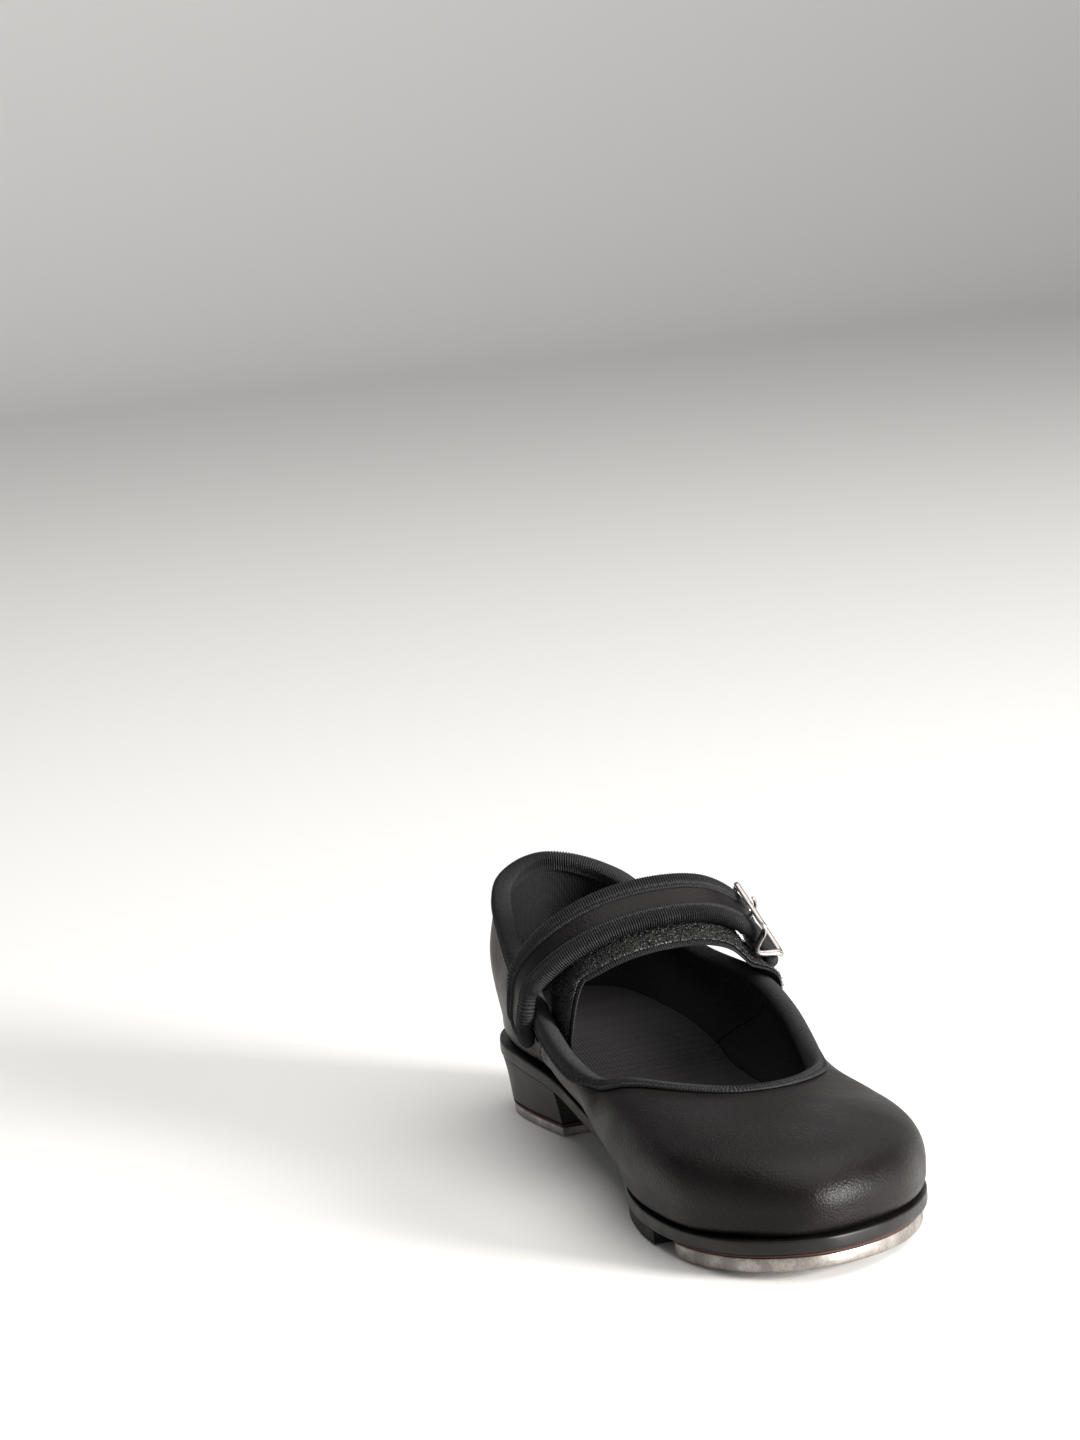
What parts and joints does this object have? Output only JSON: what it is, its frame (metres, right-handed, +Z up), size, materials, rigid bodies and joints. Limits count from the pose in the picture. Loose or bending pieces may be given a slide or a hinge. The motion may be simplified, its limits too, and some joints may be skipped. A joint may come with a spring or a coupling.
{
  "type": "tap shoe",
  "caption": "Black low-heeled strapped tap shoe with metal taps on toe and heel, ribbed binding, one buckled instep strap over a fuzzy closure strap.",
  "frame": {"origin": "centre of the heel tap's bottom face, so the floor is z = 0", "axes": "+Z up, -Y towards the toe, +Y towards the heel, +X towards the outer side of this left shoe"},
  "size_m": [0.091, 0.2422, 0.0821],
  "materials": {
    "upper": "smooth black synthetic leather with a fine grain and a soft sheen",
    "strap_face": "smooth black synthetic leather, slightly glossier than the upper",
    "lining": "black textile lining",
    "stiffener": "moulded fibre stiffener, hidden",
    "binding": "ribbed black grosgrain ribbon, stitched along its edge",
    "insole_fibre": "insole fibreboard, hidden",
    "sock": "dark textile sock liner",
    "foam": "soft foam, hidden",
    "shank_steel": "plain steel strip, hidden",
    "cork": "cork filler, hidden",
    "sole": "matt black outsole with a smooth trimmed edge",
    "pad": "matt black rubber, finely ribbed underneath",
    "tap": "satin aluminium with light wear and scratches",
    "tap_board": "reddish-brown fibreboard edge",
    "heel": "matt black moulded heel",
    "screw": "zinc-plated countersunk screw",
    "nail": "steel heel nail",
    "hook": "black hook tape",
    "loop": "fuzzy black loop tape",
    "buckle": "polished nickel plate"
  },
  "bodies": {
    "shoe": {"vamp": "upper", "quarter_inner": "upper", "quarter_outer": "upper", "vamp_lining": "lining", "quarter_lining": "lining", "heel_counter": "stiffener", "toe_puff": "stiffener", "topline_binding": "binding", "insole_board": "insole_fibre", "sock_liner": "sock", "heel_pad": "foam", "shank": "shank_steel", "bottom_filler": "cork", "outsole": "sole", "forefoot_rubber_pad": "pad", "toe_tap": "tap", "toe_tap_board": "tap_board", "heel_block": "heel", "heel_tap": "tap", "heel_tap_board": "tap_board", "strap_root": "strap_face", "strap_root_ribbon": "binding", "loop_strap_root": "loop", "toe_tap_screw_1": "screw", "heel_tap_screw_1": "screw", "toe_tap_screw_2": "screw", "heel_tap_screw_2": "screw", "toe_tap_screw_3": "screw", "heel_tap_screw_3": "screw", "heel_nail_1": "nail", "heel_nail_2": "nail", "heel_nail_3": "nail", "heel_nail_4": "nail"},
    "closing_strap": {"strap": "strap_face", "strap_lining": "lining", "strap_ribbon": "binding", "hook_patch": "hook", "buckle_frame": "buckle"},
    "loop_strap_body": {"loop_strap": "binding", "loop_pile": "loop"},
    "tongue": {"buckle_tongue": "buckle"}
  },
  "joints": [
    {"name": "strap_open", "type": "hinge", "parent": "shoe", "child": "closing_strap", "pos_m": [-0.03924, -0.03852, 0.04613], "axis": [-0.1141, -0.9696, -0.2164], "range_deg": [0, 130]},
    {"name": "loop_strap_open", "type": "hinge", "parent": "shoe", "child": "loop_strap_body", "pos_m": [0.03973, -0.05363, 0.0477], "axis": [-0.1265, 0.9831, 0.1325], "range_deg": [0, 42]},
    {"name": "tongue_lift", "type": "hinge", "parent": "closing_strap", "child": "tongue", "pos_m": [0.03427, -0.04715, 0.06139], "axis": [0.0168, 0.9021, 0.4311], "range_deg": [0, 32]}
  ],
  "couplings": [
    {"joint": "loop_strap_open", "follows": "strap_open", "ratio": 0.3}
  ]
}
